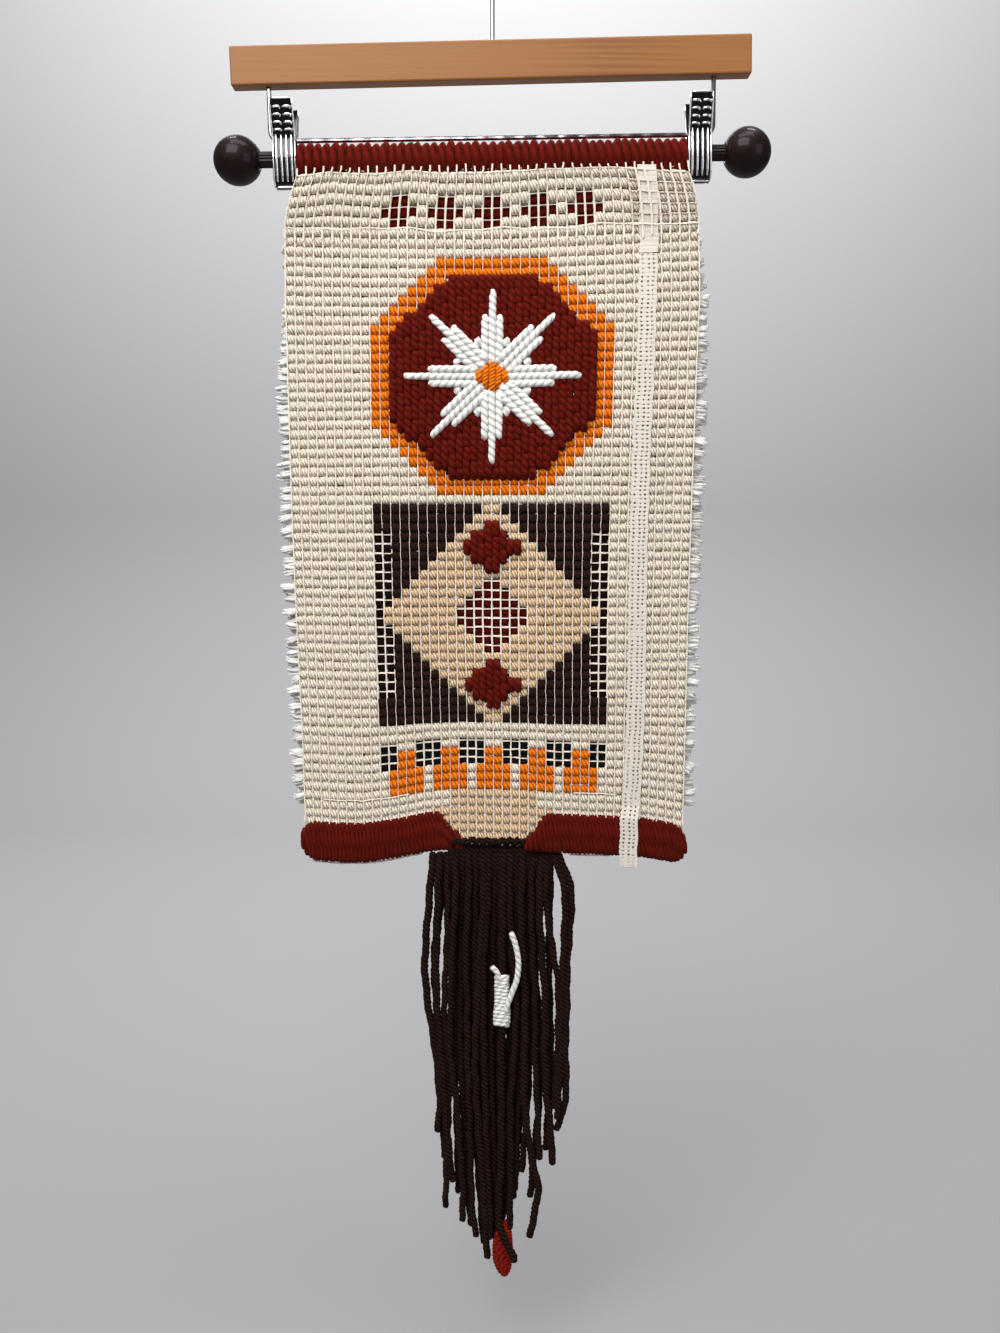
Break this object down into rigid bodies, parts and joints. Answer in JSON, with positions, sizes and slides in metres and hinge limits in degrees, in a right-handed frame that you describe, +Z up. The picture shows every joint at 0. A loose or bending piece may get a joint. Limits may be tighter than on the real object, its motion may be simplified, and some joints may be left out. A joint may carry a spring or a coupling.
{
  "type": "latch hook wall hanging on rod and clip hanger",
  "caption": "Latch hook wall hanging with cut pile, open mesh canvas, wrapped edges and a pointed fringe, on a ball-ended rod held by a wooden clip hanger.",
  "frame": {"origin": "where the hook sits on a rail: the inner top of the hook's bend, over the middle of the hanging", "axes": "+Z up along the hanging, +X across it to the right of a viewer who faces the canvas side, +Y from the canvas side towards the cut pile"},
  "size_m": [0.3978, 0.0431, 1.0276],
  "materials": {
    "light_wood": "satin",
    "dark_wood": "gloss",
    "chrome": "polished",
    "canvas_cotton": "matte",
    "cream_yarn": "matte",
    "rust_yarn": "matte",
    "brown_yarn": "matte",
    "white_yarn": "matte"
  },
  "bodies": {
    "root": {"hanger_hook": "chrome", "hanger_bar": "light_wood", "trouser_wire": "chrome", "clip_front_left": "chrome", "clip_back_left": "chrome", "clip_spring_left": "chrome", "clip_front_right": "chrome", "clip_back_right": "chrome", "clip_spring_right": "chrome", "rod": "dark_wood", "finial_left": "dark_wood", "finial_right": "dark_wood", "canvas": "canvas_cotton", "header_wrap": "rust_yarn", "hem_wrap_left": "rust_yarn", "hem_wrap_right": "rust_yarn", "pile": "cream_yarn", "fringe": "brown_yarn", "tie_knot": "white_yarn", "rust_tuft": "rust_yarn"}
  },
  "joints": []
}
